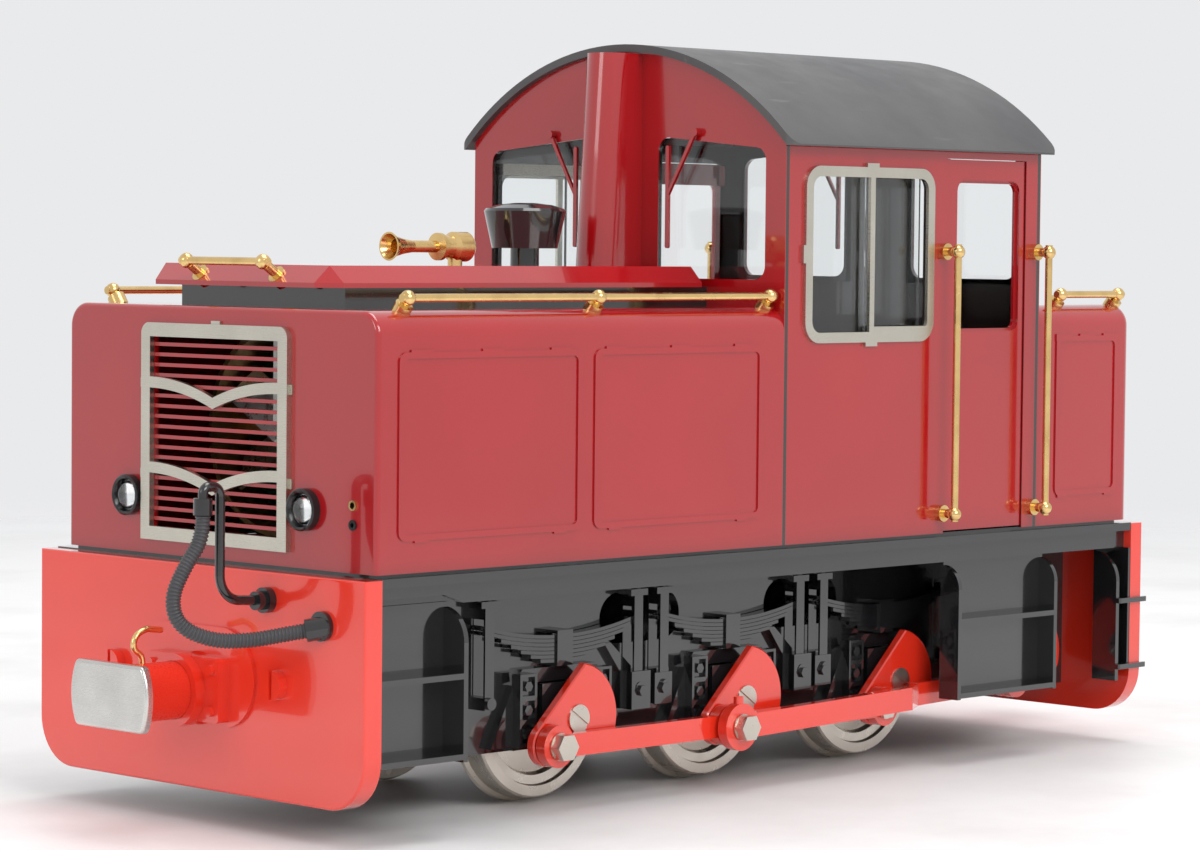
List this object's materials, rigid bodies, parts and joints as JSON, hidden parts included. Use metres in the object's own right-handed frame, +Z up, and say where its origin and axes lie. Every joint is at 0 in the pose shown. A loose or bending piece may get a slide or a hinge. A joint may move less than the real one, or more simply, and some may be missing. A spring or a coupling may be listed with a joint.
{
  "type": "model diesel locomotive",
  "caption": "Model six-coupled shunting diesel locomotive with long bonnet, arched-roof cab, short rear bunker, outside frames, cranks and rods, brass rails and a front brake hose.",
  "frame": {"origin": "middle of the length and width, at the lowest point of the wheel flanges", "axes": "+X forward towards the radiator, +Y to the left side, +Z up"},
  "size_m": [0.3001, 0.1108, 0.165],
  "materials": {
    "body_red": "deep gloss red enamel",
    "beam_red": "gloss vermilion enamel",
    "frame_black": "gloss black enamel",
    "roof_grey": "satin grey-black enamel",
    "cab_dark": "satin dark brown enamel",
    "nickel_silver": "satin nickel silver",
    "steel": "turned and brushed steel",
    "brass_polished": "polished brass",
    "bronze_dull": "dull bronze",
    "glazing": "clear glazing",
    "lens": "clear lamp lens",
    "plastic_black": "gloss black",
    "hose_rubber": "ribbed black rubber",
    "battery_wrap": "shrink-wrapped cells",
    "board_green": "circuit board",
    "motor_can": "plated motor can"
  },
  "bodies": {
    "chassis": {"main_frames": "frame_black", "frame_stretchers": "frame_black", "footplate": "frame_black", "buffer_beams": "beam_red", "step_boxes": "frame_black", "leaf_springs": "frame_black", "spring_hangers": "frame_black", "axleboxes": "frame_black", "axlebox_guides": "frame_black", "bonnet_shell": "body_red", "bunker_shell": "body_red", "cab_ends": "body_red", "cab_sides": "body_red", "roof": "roof_grey", "window_frames": "nickel_silver", "cab_glass": "glazing", "cab_fittings": "cab_dark", "deck": "body_red", "deck_base": "frame_black", "exhaust_duct": "body_red", "air_intake": "plastic_black", "horn": "brass_polished", "handrails": "brass_polished", "grille_frame": "nickel_silver", "grille_slats": "body_red", "fan_shroud": "bronze_dull", "lamp_bezels": "plastic_black", "lamp_lenses": "lens", "motor": "motor_can", "battery_pack": "battery_wrap", "control_board": "board_green", "coupler_bases": "beam_red", "brake_pipe": "plastic_black", "brake_hose": "hose_rubber"},
    "fan": {"fan": "steel"},
    "motor_shaft": {"motor_pinion": "brass_polished"},
    "wheelset_1": {"wheelset_1": "steel", "wheelset_1_cranks": "beam_red"},
    "wheelset_2": {"wheelset_2": "steel", "wheelset_2_cranks": "beam_red"},
    "wheelset_3": {"wheelset_3": "steel", "wheelset_3_cranks": "beam_red"},
    "jackshaft": {"jackshaft": "steel", "jackshaft_cranks": "beam_red"},
    "coupling_rod_left": {"coupling_rod_left": "beam_red"},
    "coupling_rod_right": {"coupling_rod_right": "beam_red"},
    "drive_rod_left": {"drive_rod_left": "beam_red"},
    "drive_rod_right": {"drive_rod_right": "beam_red"},
    "cab_door_left": {"cab_door_left": "body_red"},
    "cab_door_right": {"cab_door_right": "body_red"},
    "sliding_pane_left": {"sliding_pane_left": "glazing"},
    "sliding_pane_right": {"sliding_pane_right": "glazing"},
    "wiper_front_left": {"wiper_front_left": "body_red"},
    "wiper_front_right": {"wiper_front_right": "body_red"},
    "wiper_rear_left": {"wiper_rear_left": "body_red"},
    "wiper_rear_right": {"wiper_rear_right": "body_red"},
    "buffer_front": {"buffer_front": "steel"},
    "buffer_rear": {"buffer_rear": "steel"},
    "coupling_pin_front": {"coupling_pin_front": "brass_polished"},
    "coupling_pin_rear": {"coupling_pin_rear": "brass_polished"}
  },
  "joints": [
    {"name": "wheelset_2_spin", "type": "hinge", "parent": "chassis", "child": "wheelset_2", "pos_m": [0.0016, 0, 0.0195], "axis": [0, 1, 0], "continuous": true},
    {"name": "wheelset_1_spin", "type": "hinge", "parent": "chassis", "child": "wheelset_1", "pos_m": [0.0543, 0, 0.0195], "axis": [0, 1, 0], "continuous": true},
    {"name": "wheelset_3_spin", "type": "hinge", "parent": "chassis", "child": "wheelset_3", "pos_m": [-0.0511, 0, 0.0195], "axis": [0, 1, 0], "continuous": true},
    {"name": "jackshaft_spin", "type": "hinge", "parent": "chassis", "child": "jackshaft", "pos_m": [-0.0995, 0, 0.0223], "axis": [0, 1, 0], "continuous": true},
    {"name": "motor_shaft_spin", "type": "hinge", "parent": "chassis", "child": "motor_shaft", "pos_m": [-0.00766, 0, 0.03053], "axis": [0, 1, 0], "continuous": true},
    {"name": "coupling_rod_left_turn", "type": "hinge", "parent": "wheelset_2", "child": "coupling_rod_left", "pos_m": [0.01017, 0.041, 0.01455], "axis": [0, 1, 0], "continuous": true},
    {"name": "drive_rod_left_turn", "type": "hinge", "parent": "wheelset_2", "child": "drive_rod_left", "pos_m": [0.01017, 0.041, 0.01455], "axis": [0, 1, 0], "continuous": true},
    {"name": "coupling_rod_right_turn", "type": "hinge", "parent": "wheelset_2", "child": "coupling_rod_right", "pos_m": [0.00655, -0.041, 0.02807], "axis": [0, 1, 0], "continuous": true},
    {"name": "drive_rod_right_turn", "type": "hinge", "parent": "wheelset_2", "child": "drive_rod_right", "pos_m": [0.00655, -0.041, 0.02807], "axis": [0, 1, 0], "continuous": true},
    {"name": "fan_spin", "type": "hinge", "parent": "chassis", "child": "fan", "pos_m": [0.1001, 0, 0.08], "axis": [1, 0, 0], "continuous": true},
    {"name": "cab_door_left_swing", "type": "hinge", "parent": "chassis", "child": "cab_door_left", "pos_m": [-0.082, 0.047, 0.0976], "axis": [0, 0, -1], "range_deg": [0, 80]},
    {"name": "cab_door_right_swing", "type": "hinge", "parent": "chassis", "child": "cab_door_right", "pos_m": [-0.082, -0.047, 0.0976], "axis": [0, 0, 1], "range_deg": [0, 80]},
    {"name": "sliding_pane_left_slide", "type": "slide", "parent": "chassis", "child": "sliding_pane_left", "axis": [1, 0, 0], "range_m": [0, 0.019]},
    {"name": "sliding_pane_right_slide", "type": "slide", "parent": "chassis", "child": "sliding_pane_right", "axis": [1, 0, 0], "range_m": [0, 0.019]},
    {"name": "wiper_front_left_turn", "type": "hinge", "parent": "chassis", "child": "wiper_front_left", "pos_m": [0.0025, 0.0229, 0.1449], "axis": [1, 0, 0], "range_deg": [0, 55]},
    {"name": "wiper_front_right_turn", "type": "hinge", "parent": "chassis", "child": "wiper_front_right", "pos_m": [0.0025, -0.0229, 0.1449], "axis": [-1, 0, 0], "range_deg": [0, 55]},
    {"name": "wiper_rear_left_turn", "type": "hinge", "parent": "chassis", "child": "wiper_rear_left", "pos_m": [-0.089, 0.0229, 0.1449], "axis": [1, 0, 0], "range_deg": [0, 55]},
    {"name": "wiper_rear_right_turn", "type": "hinge", "parent": "chassis", "child": "wiper_rear_right", "pos_m": [-0.089, -0.0229, 0.1449], "axis": [-1, 0, 0], "range_deg": [0, 55]},
    {"name": "buffer_front_slide", "type": "slide", "parent": "chassis", "child": "buffer_front", "axis": [1, 0, 0], "range_m": [-0.003, 0], "stiffness_N_per_m": 900, "springref_m": 0.002},
    {"name": "buffer_rear_slide", "type": "slide", "parent": "chassis", "child": "buffer_rear", "axis": [-1, 0, 0], "range_m": [-0.003, 0], "stiffness_N_per_m": 900, "springref_m": 0.002},
    {"name": "coupling_pin_front_lift", "type": "slide", "parent": "buffer_front", "child": "coupling_pin_front", "axis": [0, 0, 1], "range_m": [0, 0.012]},
    {"name": "coupling_pin_rear_lift", "type": "slide", "parent": "buffer_rear", "child": "coupling_pin_rear", "axis": [0, 0, 1], "range_m": [0, 0.012]}
  ],
  "couplings": [
    {"joint": "wheelset_1_spin", "follows": "wheelset_2_spin", "ratio": 1},
    {"joint": "wheelset_3_spin", "follows": "wheelset_2_spin", "ratio": 1},
    {"joint": "jackshaft_spin", "follows": "wheelset_2_spin", "ratio": 1},
    {"joint": "motor_shaft_spin", "follows": "wheelset_2_spin", "ratio": -3},
    {"joint": "coupling_rod_left_turn", "follows": "wheelset_2_spin", "ratio": -1},
    {"joint": "drive_rod_left_turn", "follows": "wheelset_2_spin", "ratio": -1},
    {"joint": "coupling_rod_right_turn", "follows": "wheelset_2_spin", "ratio": -1},
    {"joint": "drive_rod_right_turn", "follows": "wheelset_2_spin", "ratio": -1}
  ]
}
